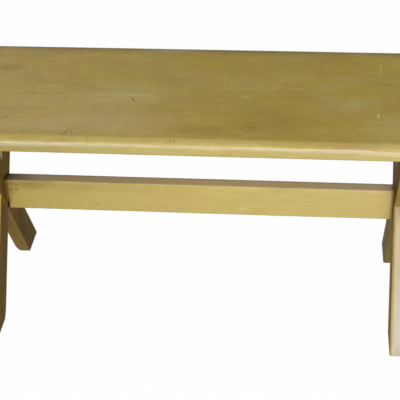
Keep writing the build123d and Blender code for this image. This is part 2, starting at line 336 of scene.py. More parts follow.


# Old oil paint, brushed on timber and worn satin: mustard, with brown grime, paler
# olive where it is rubbed thin, and brush lines along the grain. Shade and light are painted into it too
PAINT = "#C8B36A"
BRUSH_RELIEF, BRUSH_DEPTH = 0.35, 0.12 * MM
POLISHED_SPECULAR, POLISHED_ROUGHNESS = 0.3, 0.26


def painted_timber(name, grain_turn, seed, layers, specular, roughness, polish=None):
    """Painted board material. The grain turn brings the board's length to X."""
    material, tree = new_material(name)
    shader = tree.nodes["Principled BSDF"].inputs
    place = add(tree, "ShaderNodeTexCoord").outputs["Object"]
    grain = add(tree, "ShaderNodeMapping", {"Vector": place, "Rotation": grain_turn}).outputs["Vector"]
    normal = add(tree, "ShaderNodeNewGeometry").outputs["Normal"]
    facing = add(tree, "ShaderNodeSeparateXYZ", {0: normal}).outputs
    shade = colour(PAINT)
    for tone, *masks in layers(tree, place, grain, facing, seed):
        shade = add(tree, "ShaderNodeMix", {0: overlap(tree, *masks), 6: shade, 7: colour(tone)}, data_type="RGBA")
    feed(tree, shader["Base Color"], shade)
    brushing = patches(tree, grain, 70 * MM, 1.3 * MM, 0.2, 0.8, seed + 11, 3.0)
    orange_peel = patches(tree, grain, 9 * MM, 5 * MM, 0.2, 0.8, seed + 12)
    relief = add(tree, "ShaderNodeMath", {0: brushing, 1: orange_peel}, operation="ADD")
    feed(tree, shader["Normal"], add(tree, "ShaderNodeBump", {"Strength": BRUSH_RELIEF, "Distance": BRUSH_DEPTH,
                                                              "Height": relief}))
    sheen = patches(tree, grain, 160 * MM, 60 * MM, 0.3, 0.7, seed + 13, 4.0)
    gloss = add(tree, "ShaderNodeMapRange", {"Value": sheen, "To Min": roughness - 0.05, "To Max": roughness + 0.08})
    level = specular
    if polish:
        shine = polish(tree, place, grain, facing, seed)
        level = add(tree, "ShaderNodeMapRange", {"Value": shine, "To Min": specular, "To Max": POLISHED_SPECULAR})
        gloss = add(tree, "ShaderNodeMix", {0: shine, 2: gloss, 3: POLISHED_ROUGHNESS})
    feed(tree, shader["Specular IOR Level"], level)
    feed(tree, shader["Roughness"], gloss)
    return material


def zone_layers(tree, grain, seed, strength):
    """Wide soft zones where the paint is greener or browner."""
    olive = patches(tree, grain, 260 * MM, 90 * MM, 0.38, 0.62, seed, 2.0)
    brown = patches(tree, grain, 180 * MM, 70 * MM, 0.42, 0.64, seed + 1, 3.0)
    return [("#B9A84A", olive, 0.5 * strength), ("#B8905A", brown, 0.45 * strength)]


def grain_layers(tree, grain, seed, streaks, spots):
    """Streaks of the brush and the timber under it, and small spots."""
    dark = patches(tree, grain, 190 * MM, 5 * MM, 0.45, 0.62, seed + 2, 3.0)
    pale = patches(tree, grain, 80 * MM, 3 * MM, 0.5, 0.66, seed + 3, 3.0)
    mottle = patches(tree, grain, 18 * MM, 10 * MM, 0.42, 0.62, seed + 4, 4.0, 0.65)
    speck = patches(tree, grain, 5 * MM, 3 * MM, 0.66, 0.74, seed + 5, 2.0)
    return [("#A08040", dark, 0.35 * streaks), ("#DECB86", pale, 0.3 * streaks),
            ("#A88C4C", mottle, 0.3 * spots), ("#8A6F3E", speck, 0.4 * spots)]


def worn_arris(tree, grain, seed):
    """Where the sharp edges are rubbed, from the attribute that the wear leaves."""
    arris = add(tree, "ShaderNodeAttribute", attribute_name="arris").outputs["Fac"]
    return overlap(tree, arris, patches(tree, grain, 26 * MM, 12 * MM, 0.35, 0.65, seed + 21, 4.0, 0.6))


# The glued joint shows as a pale crack where the filler is bare, and elsewhere dark:
# from and to in mm along the seat, tone and strength
SEAM_STRETCHES = [(-300, -240, OLD_DIRT, 0.2), (-226, -168, "#F0DC98", 0.5), (-168, -128, "#F6E6A8", 0.75),
                  (-125, -75, "#FCF0C0", 0.9), (-75, 10, "#A88648", 0.35), (10, 92, OLD_DIRT, 0.3),
                  (84, 94, "#EBD88C", 0.4), (94, 103, "#FCEEB4", 0.95), (103, 130, "#E8D690", 0.5),
                  (170, 270, OLD_DIRT, 0.2)]
SEAM_INNER, SEAM_OUTER, SEAM_FADE = 0.72 * MM, 1.17 * MM, 5 * MM
# The rubbed band of the nose, which also carries a painted highlight, and is lower and wider toward the ends
BAND_DEPTH, BAND_HALF, BAND_FADE = 10.6 * MM, 2.1 * MM, 1.5 * MM
BAND_SAG, BAND_WIDENING, BAND_WAVER = 0.024, 0.009, 1.6 * MM
# Where the band shines less: none, full, end and gone in metres along the seat, and the
# share of the shine that is left there. SCUFFED_SHARE is what is left on its scuffs
DULL_STRETCHES = [(-0.22, -0.15, 0.02, 0.1, 0.6), (0.2, 0.28, 0.6, 0.7, 0.7)]
SCUFFED_SHARE = 0.45


def nose_band(tree, place, spread, waver):
    """A band along the rounded nose, that wavers up and down by this much."""
    x, y, z = add(tree, "ShaderNodeSeparateXYZ", {0: place}).outputs
    outward = add(tree, "ShaderNodeMath", {0: x, 1: x}, operation="MULTIPLY")
    height = add(tree, "ShaderNodeMath", {0: outward, 1: BAND_SAG, 2: z}, operation="MULTIPLY_ADD")
    height = add(tree, "ShaderNodeMath", {0: height, 1: waver}, operation="ADD")
    away = add(tree, "ShaderNodeMath", {0: height, 1: seat_top - BAND_DEPTH}, operation="SUBTRACT")
    away = add(tree, "ShaderNodeMath", {0: away}, operation="ABSOLUTE")
    half = add(tree, "ShaderNodeMath", {0: outward, 1: BAND_WIDENING * spread, 2: BAND_HALF * spread},
               operation="MULTIPLY_ADD")
    past = add(tree, "ShaderNodeMath", {0: away, 1: half}, operation="SUBTRACT")
    return fade(tree, past, BAND_FADE * spread, 0.0)


def nose_polish(tree, place, grain, facing, seed):
    """The front nose is rubbed smooth by sitters' legs."""
    nose = fade(tree, facing["Y"], -0.42, -0.62)
    band = nose_band(tree, place, 1.3, 0.0)
    scuffed = patches(tree, grain, 60 * MM, 4 * MM, 0.35, 0.6, seed + 34, 4.0, 0.6)
    dulled = [(scuffed, SCUFFED_SHARE)]
    along = add(tree, "ShaderNodeSeparateXYZ", {0: place}).outputs["X"]
    for none, full, end, gone, share in DULL_STRETCHES:
        dulled.append((fade(tree, along, none, full, end, gone), share))
    kept = [add(tree, "ShaderNodeMapRange", {"Value": dull, "To Min": 1.0, "To Max": share})
            for dull, share in dulled]
    return overlap(tree, nose, band, *kept)


def seat_layers(tree, place, grain, facing, seed):
    """Yellower on top, paler toward the front from sitting and from painted light, painted shade toward the back, and
    rubbed along the nose.
    """
    x, y, z = add(tree, "ShaderNodeSeparateXYZ", {0: place}).outputs
    wander = patches(tree, grain, 300 * MM, 120 * MM, 0.2, 0.8, seed + 31)
    drift = add(tree, "ShaderNodeMath", {0: wander, 1: 0.25, 2: x}, operation="MULTIPLY_ADD")
    upward = fade(tree, facing["Z"], 0.95, 1.0)
    left_end = fade(tree, drift, 120 * MM, -300 * MM)
    forward = fade(tree, y, 110 * MM, -150 * MM)
    sat_on_and_lit = fade(tree, drift, 240 * MM, -60 * MM)
    layers = zone_layers(tree, grain, seed, 1.3)
    # Paler toward the front: rubbed by sitting, and painted light
    layers += [("#D2B434", upward, 0.72), ("#DEBE6E", left_end, upward, 0.7),
               ("#F4DA84", forward, sat_on_and_lit, upward, 0.4)]
    for length, width, low, tone, strength in ((110, 75, 0.46, "#B89A4C", 0.26), (70, 40, 0.5, "#E6D27E", 0.18)):
        cloud = patches(tree, grain, length * MM, width * MM, low, low + 0.16, seed + length, 2.0)
        layers.append((tone, cloud, upward, strength))
    layers += grain_layers(tree, grain, seed, 0.2, 0.6)

    # The nose: its rubbed band, paled further as a painted highlight, with streaks and flecks, the bevel and the
    # upright edge
    wavy = add(tree, "ShaderNodeMapRange", {"Value": patches(tree, grain, 120 * MM, 300 * MM, 0.1, 0.9, seed + 32),
                                            "To Min": -BAND_WAVER, "To Max": BAND_WAVER})
    band = nose_band(tree, place, 1.0, wavy)
    ahead = fade(tree, facing["Y"], -0.42, -0.55)
    outward = add(tree, "ShaderNodeMath", {0: x, 1: x}, operation="MULTIPLY")
    ends = add(tree, "ShaderNodeMapRange", {"Value": outward, "From Max": 0.16, "To Min": 0.2, "To Max": 0.6})
    streaked = patches(tree, grain, 90 * MM, 1.8 * MM, 0.5, 0.64, seed + 36, 3.0)
    # Painted highlight along the band, stronger toward the ends and whiter to the left
    layers += [("#EEE4D6", band, ahead, ends), ("#D8D4CE", band, ahead, left_end, 0.35),
               ("#8A7452", streaked, ahead, left_end, 0.6)]
    for seed_step, tone, strength in ((37, "#9A8040", 0.28), (38, "#EEE4BE", 0.14)):
        fleck = patches(tree, grain, 30 * MM, 2.6 * MM, 0.48, 0.64, seed + seed_step, 3.0, 0.55)
        layers.append((tone, fleck, ahead, strength))
    bevel = fade(tree, facing["Y"], -0.48, -0.44, -0.34, -0.3)
    upright = fade(tree, facing["Y"], -0.9, -1.0)
    layers += [("#D6C868", bevel, 0.22), ("#C0B577", upright, 0.3)]
    # Painted shade on the upright edge toward the left, and painted light toward the right
    for end, tone, strength in ((-0.32, "#8E884F", 0.4), (0.3, "#CEC083", 0.3)):
        layers.append((tone, upright, fade(tree, x, 0.0, end), strength))
    # Painted shade along the lower edge of the front
    layers.append(("#8C7C40", fade(tree, z, seat_low.z + 4 * MM, seat_low.z + 1 * MM), 0.45))

    # Painted shade toward the back edge, the worn edges, the glued joint and the marks
    ragged = patches(tree, grain, 160 * MM, 300 * MM, 0.2, 0.8, seed + 35)
    shadowed = add(tree, "ShaderNodeMath", {0: ragged, 1: 7 * MM, 2: y}, operation="MULTIPLY_ADD")
    for reach, strength in ((50 * MM, 0.12), (38 * MM, 0.22), (22 * MM, 0.34)):
        layers.append(("#54431F", fade(tree, shadowed, seat_back - reach, seat_back - BEVEL_WIDTH), strength))
    layers.append(("#DCCB95", worn_arris(tree, grain, seed), 0.3))
    near_seam = fade(tree, y, seam_y - SEAM_OUTER, seam_y - SEAM_INNER, seam_y + SEAM_INNER, seam_y + SEAM_OUTER)
    for start, end, tone, strength in SEAM_STRETCHES:
        stretch = fade(tree, x, start * MM - SEAM_FADE, start * MM, end * MM, end * MM + SEAM_FADE)
        layers.append((tone, near_seam, stretch, strength))
    layers += rub_layers(tree, place, grain, SEAT_RUBS, seed)
    return layers + mark_layers(tree, place, SEAT_CUTS, CUT_SPREADS, CUT_FULL)


def rail_layers(tree, place, grain, facing, seed):
    """Painted shade to the left and painted light to the right, and darker toward both ends."""
    along, across, height = add(tree, "ShaderNodeSeparateXYZ", {0: place}).outputs
    painted_shade_left = fade(tree, along, 40 * MM, -360 * MM)
    painted_light_right = fade(tree, along, 60 * MM, 330 * MM)
    # Painted shadow of the seat along the upper part of the face, to the left
    upper = fade(tree, height, rail_high.z - 26 * MM, rail_high.z - 6 * MM)
    # Painted shade along the lower edge
    low_edge = fade(tree, height, rail_low.z + 3 * MM, rail_low.z + 0.5 * MM)
    layers = zone_layers(tree, grain, seed, 0.6) + grain_layers(tree, grain, seed, 0.5, 0.8)
    layers += [("#E0CE80", 0.4), ("#A8934C", painted_shade_left, 0.5), ("#8C713C", painted_shade_left, upper, 0.35)]
    for way, start, full, strength in ((-1, 60, 4, 0.3), (1, 34, 4, 0.25)):
        darker_end = fade(tree, along, way * (rail_half - start * MM), way * (rail_half - full * MM))
        layers.append(("#8C713C", darker_end, strength))

    # The top face: painted light on it, and painted shade in its left corner and along its back edge
    upward = fade(tree, facing["Z"], 0.7, 1.0)
    left_corner = fade(tree, along, -302 * MM, -366 * MM)
    back_edge = fade(tree, across, -rail_front - 8 * MM, -rail_front - 1 * MM)
    layers += [("#8C7C40", low_edge, 0.4), ("#E4D49A", painted_light_right, 0.15), ("#F8DCA0", upward, 0.95),
               ("#8F7E78", upward, painted_shade_left, 0.45), ("#3A3020", upward, left_corner, 0.75),
               ("#D2C8B8", upward, painted_light_right, 0.25), ("#544434", back_edge, upward, 0.4)]
    # A painted highlight along the front top arris
    front_arris_highlight = fade(tree, facing["Z"], 0.1, 0.35, 0.85, 0.97)
    toward = fade(tree, facing["Y"], -0.15, -0.4)
    broken = patches(tree, grain, 60 * MM, 8 * MM, 0.35, 0.6, seed + 36, 3.0)
    layers += [("#E0CB92", front_arris_highlight, toward, broken, 0.25), ("#E6D8AC", worn_arris(tree, grain, seed), 0.6)]

    # Ragged painted shadow bands where the stretcher meets the legs: way, width in mm, tone and strength
    ragged = patches(tree, grain, 7 * MM, 5 * MM, 0.2, 0.8, seed + 33, 4.0, 0.7)
    jag = add(tree, "ShaderNodeMath", {0: ragged, 1: 2.5 * MM}, operation="MULTIPLY")
    for way, band, tone, strength in ((1, 4, "#6E5A26", 0.6), (-1, 7.5, "#4C3C14", 0.95)):
        outward = add(tree, "ShaderNodeMath", {0: along, 1: way, 2: jag}, operation="MULTIPLY_ADD")
        end = fade(tree, outward, rail_half - band * MM, rail_half - (band - 2) * MM)
        layers.append((tone, end, strength))
    layers += rub_layers(tree, place, grain, RAIL_RUBS, seed)
    layers += mark_layers(tree, place, RAIL_STAINS_AND_SHADE, PLAIN_SPREADS, STAIN_FULL)
    return layers + mark_layers(tree, place, RAIL_CUTS, CUT_SPREADS, CUT_FULL)


def leg_layers(tree, place, grain, facing, seed):
    """Painted light and glare, with blotches, on the upper front faces; painted shade, brown and grimy, on the
    flanks.
    """
    x, y, z = add(tree, "ShaderNodeSeparateXYZ", {0: place}).outputs
    outward = add(tree, "ShaderNodeMath", {0: x}, operation="ABSOLUTE")
    normal = add(tree, "ShaderNodeNewGeometry").outputs["Normal"]
    ahead = add(tree, "ShaderNodeVectorMath", {0: normal, 1: (0, -math.cos(LEG_LEAN), math.sin(LEG_LEAN))},
                operation="DOT_PRODUCT").outputs["Value"]
    upper_face = fade(tree, ahead, 0.9, 0.99)
    lit_front_face = overlap(tree, upper_face, fade(tree, outward, rail_half + 3 * MM, rail_half + 7 * MM))
    layers = zone_layers(tree, grain, seed, 1.0) + grain_layers(tree, grain, seed, 0.8, 1.0)
    # Painted light and glare on the faces that lean up toward the front
    layers.append(("#E0D7C4", lit_front_face, 0.85))
    for seed_step, low, tone in ((24, 0.52, "#D8C3B4"), (25, 0.5, "#DCD8B8"), (26, 0.56, "#C9B48C")):
        blotch = patches(tree, grain, 40 * MM, 16 * MM, low, low + 0.12, seed + seed_step, 4.0, 0.65)
        layers.append((tone, blotch, lit_front_face, 0.5))
    for start, full, tone, strength in ((60, 150, "#D4BE84", 0.5), (206, 246, "#8A7040", 0.65)):
        layers.append((tone, fade(tree, z, start * MM, full * MM), lit_front_face, strength))

    # The flanks, in painted shade that is darkest where they face the middle of the bench
    flank = fade(tree, add(tree, "ShaderNodeMath", {0: facing["X"]}, operation="ABSOLUTE"), 0.6, 0.95)
    turned_in = add(tree, "ShaderNodeMath", {0: facing["X"], 1: x}, operation="MULTIPLY")
    shaded_flank = overlap(tree, flank, fade(tree, turned_in, -0.1, -0.25))
    downward = fade(tree, facing["Z"], -0.2, -0.45)
    grimy = patches(tree, grain, 70 * MM, 20 * MM, 0.42, 0.62, seed + 27, 4.0, 0.6)
    upper_arm = overlap(tree, shaded_flank, fade(tree, z, 235 * MM, 275 * MM))
    right_end = fade(tree, x, 0.0, 0.2)
    low_down = fade(tree, z, 240 * MM, 180 * MM)
    behind = fade(tree, y, 20 * MM, 70 * MM)
    near_floor = fade(tree, z, 40 * MM, 2 * MM)
    scuffed = patches(tree, grain, 14 * MM, 8 * MM, 0.4, 0.6, seed + 22, 4.0, 0.65)
    # Painted shade also on the faces turned down, the upper arms under the seat and toward the back, and painted
    # light low on the right
    layers += [("#A07F42", flank, 0.3), ("#86642F", shaded_flank, 0.75), ("#87683A", downward, 0.5),
               ("#5C4420", grimy, flank, 0.35), ("#CDBA80", worn_arris(tree, grain, seed), 0.5),
               ("#765E06", upper_arm, 0.5), ("#6E3C04", upper_arm, right_end, 0.45),
               ("#DDBE8C", right_end, low_down, shaded_flank, 0.5), ("#4A3818", shaded_flank, behind, 0.28),
               ("#8E7F6C", near_floor, scuffed, 0.25)]
    return layers + rub_layers(tree, place, grain, LEG_RUB_HIGHLIGHTS, seed)


def nail_layers(tree, place, grain, facing, seed):
    """Nail heads set in and painted over, with rust coming through."""
    rust = patches(tree, grain, 2.5 * MM, 2.5 * MM, 0.35, 0.6, seed, 3.0)
    return [("#A8904E", 1.0), ("#86693A", rust)]


def beech_layers(tree, place, grain, facing, seed):
    """Bare beech, with fine darker streaks and flecks along the grain."""
    rays = patches(tree, grain, 3 * MM, 0.5 * MM, 0.55, 0.68, seed + 2, 2.0)
    streak = patches(tree, grain, 60 * MM, 1.2 * MM, 0.42, 0.62, seed + 3, 3.0)
    return [("#CFAE7E", 1.0), ("#B48E5C", streak, 0.35), ("#9C7546", rays, 0.5)]


def old_steel(name, bare, stain, coat):
    """Dull steel with rust stains. Where it was coated, most of the paint is still on."""
    material, tree = new_material(name)
    shader = tree.nodes["Principled BSDF"].inputs
    place = add(tree, "ShaderNodeTexCoord").outputs["Object"]
    stained = overlap(tree, patches(tree, place, 3 * MM, 2 * MM, 0.4, 0.62, 41.0, 3.0), 0.8)
    coated = add(tree, "ShaderNodeAttribute", attribute_name="coated").outputs["Fac"]
    kept = overlap(tree, coated, patches(tree, place, 2.6 * MM, 2.6 * MM, 0.36, 0.44, 43.0, 3.0))
    shade = add(tree, "ShaderNodeMix", {0: stained, 6: colour(bare), 7: colour(stain)}, data_type="RGBA")
    shade = add(tree, "ShaderNodeMix", {0: kept, 6: shade, 7: colour(coat)}, data_type="RGBA")
    feed(tree, shader["Base Color"], shade)
    covered = add(tree, "ShaderNodeMath", {0: stained, 1: kept}, operation="MAXIMUM")
    for label, full, bright, dull in (("Metallic", 0.8, 1.0, 0.0), ("Roughness", 1.0, 0.42, 0.68)):
        feed(tree, shader[label], add(tree, "ShaderNodeMapRange", {"Value": covered, "From Max": full,
                                                                   "To Min": bright, "To Max": dull}))
    return material


# Board shapes: a CAD node's mesh, cut to an even net and then worn
MERGE_REACH, CUT_REACH = 1e-6, 1e-5
FLAT_ANGLE = math.radians(0.6)
NAIL_FENCE = 1.4 * MM


def cut_across(net, way, place):
    """Cuts the whole net by one plane."""
    geometry = net.verts[:] + net.edges[:] + net.faces[:]
    bmesh.ops.bisect_plane(net, geom=geometry, dist=CUT_REACH, plane_no=way, plane_co=place)


def slice_evenly(net, direction, spacing):
    """Cuts the net by parallel planes this far apart."""
    direction = Vector(direction).normalized()
    reaches = [vert.co.dot(direction) for vert in net.verts]
    count = int((max(reaches) - min(reaches)) / spacing)
    start = (max(reaches) + min(reaches) - count * spacing) / 2
    for index in range(count + 1):
        cut_across(net, direction, direction * (start + index * spacing))


def fence_nails(net):
    """Cuts round the nail holes, so that the wear of their rims stays near them."""
    low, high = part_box("stretcher_nails")
    for x in (high.x + NAIL_FENCE, high.x - (high.z - low.z) - NAIL_FENCE):
        cut_across(net, (1, 0, 0), (x, 0, 0))
        cut_across(net, (1, 0, 0), (-x, 0, 0))
    for z in (high.z + NAIL_FENCE, low.z - NAIL_FENCE):
        cut_across(net, (0, 0, 1), (0, 0, z))


def mark_cutters(marks):
    """One mesh of the flattened balls that gouge the marks out."""
    net = bmesh.new()
    for spot, face, turn, half_sizes, *_ in marks:
        shape = mark_turn(face, turn).to_4x4() @ Matrix.Diagonal((*(size * MM for size in half_sizes), 1.0))
        bmesh.ops.create_icosphere(net, subdivisions=2, radius=1.0, matrix=Matrix.Translation(spot) @ shape)
    mesh = bpy.data.meshes.new("mark_cutters")
    net.to_mesh(mesh)
    net.free()
    return link("mark_cutters", mesh)


def joined_node(node):
    """A copy of a CAD node's mesh with its loose triangles joined and its marks cut."""
    net = bmesh.new()
    net.from_mesh(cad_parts[node].data)
    bmesh.ops.remove_doubles(net, verts=net.verts, dist=MERGE_REACH)
    mesh = bpy.data.meshes.new(node + "_joined")
    net.to_mesh(mesh)
    net.free()
    if node not in BOARD_CUTS:
        return mesh
    whole = link(node + "_joined", mesh)
    cutters = mark_cutters(BOARD_CUTS[node])
    cut = whole.modifiers.new("marks", "BOOLEAN")
    cut.object = cutters
    cut.operation = "DIFFERENCE"
    cut.solver = "EXACT"
    marked = bpy.data.meshes.new_from_object(whole.evaluated_get(bpy.context.evaluated_depsgraph_get()))
    bpy.data.objects.remove(whole)
    bpy.data.objects.remove(cutters)
    return marked


# How a foot is worn round: its outer edge, or its edge toward the bench's middle, with
# how far in and how far up the wear goes
FOOT_WEAR = {"left_back_foot_leg": ("outer", 8 * MM, 25 * MM), "left_front_foot_leg": ("inner", 13 * MM, 16 * MM),
             "right_back_foot_leg": ("outer", 3 * MM, 9 * MM), "right_front_foot_leg": ("outer", 3 * MM, 8 * MM)}
FOOT_WEAR_STEPS = (0.03, 0.1, 0.2, 0.34, 0.5, 0.72, 1.0)


def round_foot(net, node):
    worn_edge, depth, height = FOOT_WEAR[node]
    for share in FOOT_WEAR_STEPS:
        cut_across(net, (0, 0, 1), (0, 0, share * height))
    sole = [vert.co for vert in net.verts if vert.co.z < MM]
    axis = 0 if worn_edge == "outer" else 1
    near = min((co[axis] for co in sole), key=abs)
    far = max((co[axis] for co in sole), key=abs)
    for vert in net.verts:
        if vert.co.z >= height:
            continue
        inset = depth * (1 - math.sqrt(1 - (1 - vert.co.z / height) ** 2))
        if worn_edge == "outer":
            share = (vert.co.x - near) / (far - near)
            vert.co.x -= math.copysign(inset, far) * share
        else:
            leaned = vert.co.y + math.copysign(vert.co.z * math.tan(LEG_LEAN), far)
            vert.co.y += math.copysign(inset, far) * (far - leaned) / (far - near)


def even_net(node, cuts):
    """A copy of a CAD node with its flat faces joined and cut again to an even net."""
    net = bmesh.new()
    net.from_mesh(joined_node(node))
    bmesh.ops.remove_doubles(net, verts=net.verts, dist=MERGE_REACH)
    bmesh.ops.dissolve_limit(net, angle_limit=FLAT_ANGLE, verts=net.verts, edges=net.edges)
    for direction, spacing in cuts:
        slice_evenly(net, direction, spacing)
    if node in FOOT_WEAR:
        round_foot(net, node)
    if node == "stretcher":
        fence_nails(net)
    mesh = bpy.data.meshes.new(node + "_worn")
    net.to_mesh(mesh)
    net.free()
    return link(node + "_worn", mesh)


# An edge bent by less than CREASE_ANGLE is shaded smooth, and one bent by ARRIS_ANGLE
# is fully worn. The wear spreads this many edges on, and is this much finer than the
# waves, which are drawn out along the grain
CREASE_ANGLE, ARRIS_ANGLE = math.radians(32), math.radians(14)
ARRIS_SPREAD, ARRIS_FINENESS, WAVE_DRAW = 2, 5.0, (0.4, 1.0, 1.0)


def new_tree(name, kinds):
    """An empty geometry tree with an input for each of these names and kinds."""
    tree = bpy.data.node_groups.new(name, "GeometryNodeTree")
    tree.interface.new_socket("Geometry", in_out="OUTPUT", socket_type="NodeSocketGeometry")
    for label, kind in {"Geometry": "Geometry", **kinds, "Finish": "Material"}.items():
        tree.interface.new_socket(label, in_out="INPUT", socket_type="NodeSocket" + kind)
    return tree, add(tree, "NodeGroupInput").outputs


def creased(tree, shape):
    """The shape shaded smooth, but for its sharp edges."""
    angle = add(tree, "GeometryNodeInputMeshEdgeAngle").outputs["Unsigned Angle"]
    gentle = add(tree, "FunctionNodeCompare", {"A": angle, "B": CREASE_ANGLE}, operation="LESS_THAN")
    smooth = add(tree, "GeometryNodeSetShadeSmooth", {"Geometry": shape, "Shade Smooth": True}, domain="FACE")
    return add(tree, "GeometryNodeSetShadeSmooth", {"Geometry": smooth, "Shade Smooth": gentle}, domain="EDGE")


def wear_tree():
    """Waves the faces a little, rubs the edges down and marks where they are rubbed."""
    tree, given = new_tree("board wear", {"Grain turn": "Vector", "Wave length": "Float", "Wave depth": "Float",
                                          "Arris wear": "Float", "Seed": "Float"})
    bend = fade(tree, add(tree, "GeometryNodeInputMeshEdgeAngle").outputs["Unsigned Angle"], 0.0, ARRIS_ANGLE)
    soft = add(tree, "GeometryNodeBlurAttribute", {"Value": bend, "Iterations": ARRIS_SPREAD}, data_type="FLOAT")
    marked = add(tree, "GeometryNodeStoreNamedAttribute", {"Geometry": given["Geometry"], "Name": "arris",
                                                           "Value": soft}, data_type="FLOAT", domain="POINT")
    grain = add(tree, "ShaderNodeVectorRotate", {"Vector": add(tree, "GeometryNodeInputPosition"),
                                                 "Rotation": given["Grain turn"]}, rotation_type="EULER_XYZ")
    drawn = add(tree, "ShaderNodeVectorMath", {0: grain, 1: WAVE_DRAW}, operation="MULTIPLY")
    depths = []
    for fineness, detail, depth in ((1.0, 1.0, "Wave depth"), (ARRIS_FINENESS, 2.0, "Arris wear")):
        scale = add(tree, "ShaderNodeMath", {0: fineness, 1: given["Wave length"]}, operation="DIVIDE")
        noise = add(tree, "ShaderNodeTexNoise", {"Vector": drawn, "W": given["Seed"], "Scale": scale,
                                                 "Detail": detail}, noise_dimensions="4D").outputs["Fac"]
        depths.append(add(tree, "ShaderNodeMath", {0: noise, 1: given[depth]}, operation="MULTIPLY"))
    waved, rubbed = depths
    arris = add(tree, "GeometryNodeInputNamedAttribute", {"Name": "arris"}, data_type="FLOAT")
    depth = add(tree, "ShaderNodeMath", {0: rubbed, 1: arris, 2: waved}, operation="MULTIPLY_ADD")
    inward = add(tree, "ShaderNodeMath", {0: depth, 1: -1.0}, operation="MULTIPLY")
    push = add(tree, "ShaderNodeVectorMath", {0: add(tree, "GeometryNodeInputNormal"), "Scale": inward},
               operation="SCALE")
    moved = add(tree, "GeometryNodeSetPosition", {"Geometry": marked, "Offset": push})
    painted = add(tree, "GeometryNodeSetMaterial", {"Geometry": creased(tree, moved), "Material": given["Finish"]})
    add(tree, "NodeGroupOutput", {"Geometry": painted})
    return tree


def run_tree(piece, tree, values):
    """Runs a node tree on a piece with these named values, and keeps its plain mesh."""
    modifier = piece.modifiers.new("made", "NODES")
    modifier.node_group = tree
    sockets = {item.name: item.identifier for item in tree.interface.items_tree if item.in_out == "INPUT"}
    for label, value in values.items():
        modifier[sockets[label]] = value
    depsgraph = bpy.context.evaluated_depsgraph_get()
    mesh = bpy.data.meshes.new_from_object(piece.evaluated_get(depsgraph))
    piece.modifiers.remove(modifier)
    piece.data = mesh


# Fasteners: one turned shape for each kind, set on the places read from the frame. Each
# size is a share of its length and a share of its radius, added up
SLOT_SHARE = 0.28
SCREW_SIDES, SCREW_RINGS, POINT_SHARE = 18, 120, 0.03
SCREW_SIZES = {
    "Length": (1, 0), "Head radius": (0, 1), "Head depth": (0, 0.55), "Shank radius": (0, 0.5),
    "Thread start": (0.35, 0), "Thread full": (0.35, 0.4), "Half pitch": (0, 0.21),
    "Thread depth": (0, 0.14), "Thread step": (0, 0.07), "Point start": (1, -1.4),
    "Slot length": (0, 2.4), "Slot width": (0, 0.24), "Slot cutter height": (0, 2 * SLOT_SHARE),
    "Bare below": (0, -0.25), "Coated above": (0, -0.1),
}
DOWEL_SIDES, DOWEL_RINGS, FLUTE_COUNT, FLUTE_EDGE = 72, 50, 18, 0.2
DOWEL_SIZES = {"Length": (1, 0), "Shank radius": (0, 1)}
DOWEL_CHAMFER, FLUTE_DEPTH = 1.0 * MM, 0.35 * MM
END_REACH, SLOT_REACH = 0.05 * MM, 0.02 * MM


def screw_outline(tree, given, depth, angle):
    """The radius of a wood screw at this depth: head, shank, thread and point."""
    head = add(tree, "ShaderNodeMapRange", {"Value": depth, "From Max": given["Head depth"],
                                            "To Min": given["Head radius"], "To Max": given["Shank radius"]})
    lead = add(tree, "ShaderNodeMath", {0: depth, 1: given["Half pitch"]}, operation="DIVIDE")
    half_turns = add(tree, "ShaderNodeMath", {0: angle, 1: 1 / math.pi, 2: lead}, operation="MULTIPLY_ADD")
    valley = add(tree, "ShaderNodeMath", {0: half_turns, 1: 1.0}, operation="PINGPONG")
    groove = add(tree, "ShaderNodeMath", {0: valley, 1: given["Thread depth"], 2: given["Thread step"]},
                 operation="MULTIPLY_ADD")
    threaded = overlap(tree, fade(tree, depth, given["Thread start"], given["Thread full"]), groove)
    body = add(tree, "ShaderNodeMath", {0: head, 1: threaded}, operation="SUBTRACT")
    taper = add(tree, "ShaderNodeMapRange", {"Value": depth, "From Min": given["Point start"],
                                             "From Max": given["Length"], "To Min": 1.0, "To Max": POINT_SHARE})
    return add(tree, "ShaderNodeMath", {0: body, 1: taper}, operation="MULTIPLY")


def dowel_outline(tree, given, depth, angle):
    """The radius of a fluted dowel with chamfered ends."""
    rest = add(tree, "ShaderNodeMath", {0: given["Length"], 1: depth}, operation="SUBTRACT")
    near_end = add(tree, "ShaderNodeMath", {0: depth, 1: rest}, operation="MINIMUM")
    chamfer = add(tree, "ShaderNodeMapRange", {"Value": near_end, "From Max": DOWEL_CHAMFER,
                                               "To Min": DOWEL_CHAMFER, "To Max": 0.0})
    fluting = add(tree, "ShaderNodeMath", {0: angle, 1: float(FLUTE_COUNT)}, operation="MULTIPLY")
    wave = add(tree, "ShaderNodeMath", {0: fluting}, operation="COSINE")
    flute = add(tree, "ShaderNodeMapRange", {"Value": wave, "From Min": FLUTE_EDGE, "To Max": FLUTE_DEPTH})
    cut_away = add(tree, "ShaderNodeMath", {0: chamfer, 1: flute}, operation="MAXIMUM")
    return add(tree, "ShaderNodeMath", {0: given["Shank radius"], 1: cut_away}, operation="SUBTRACT")


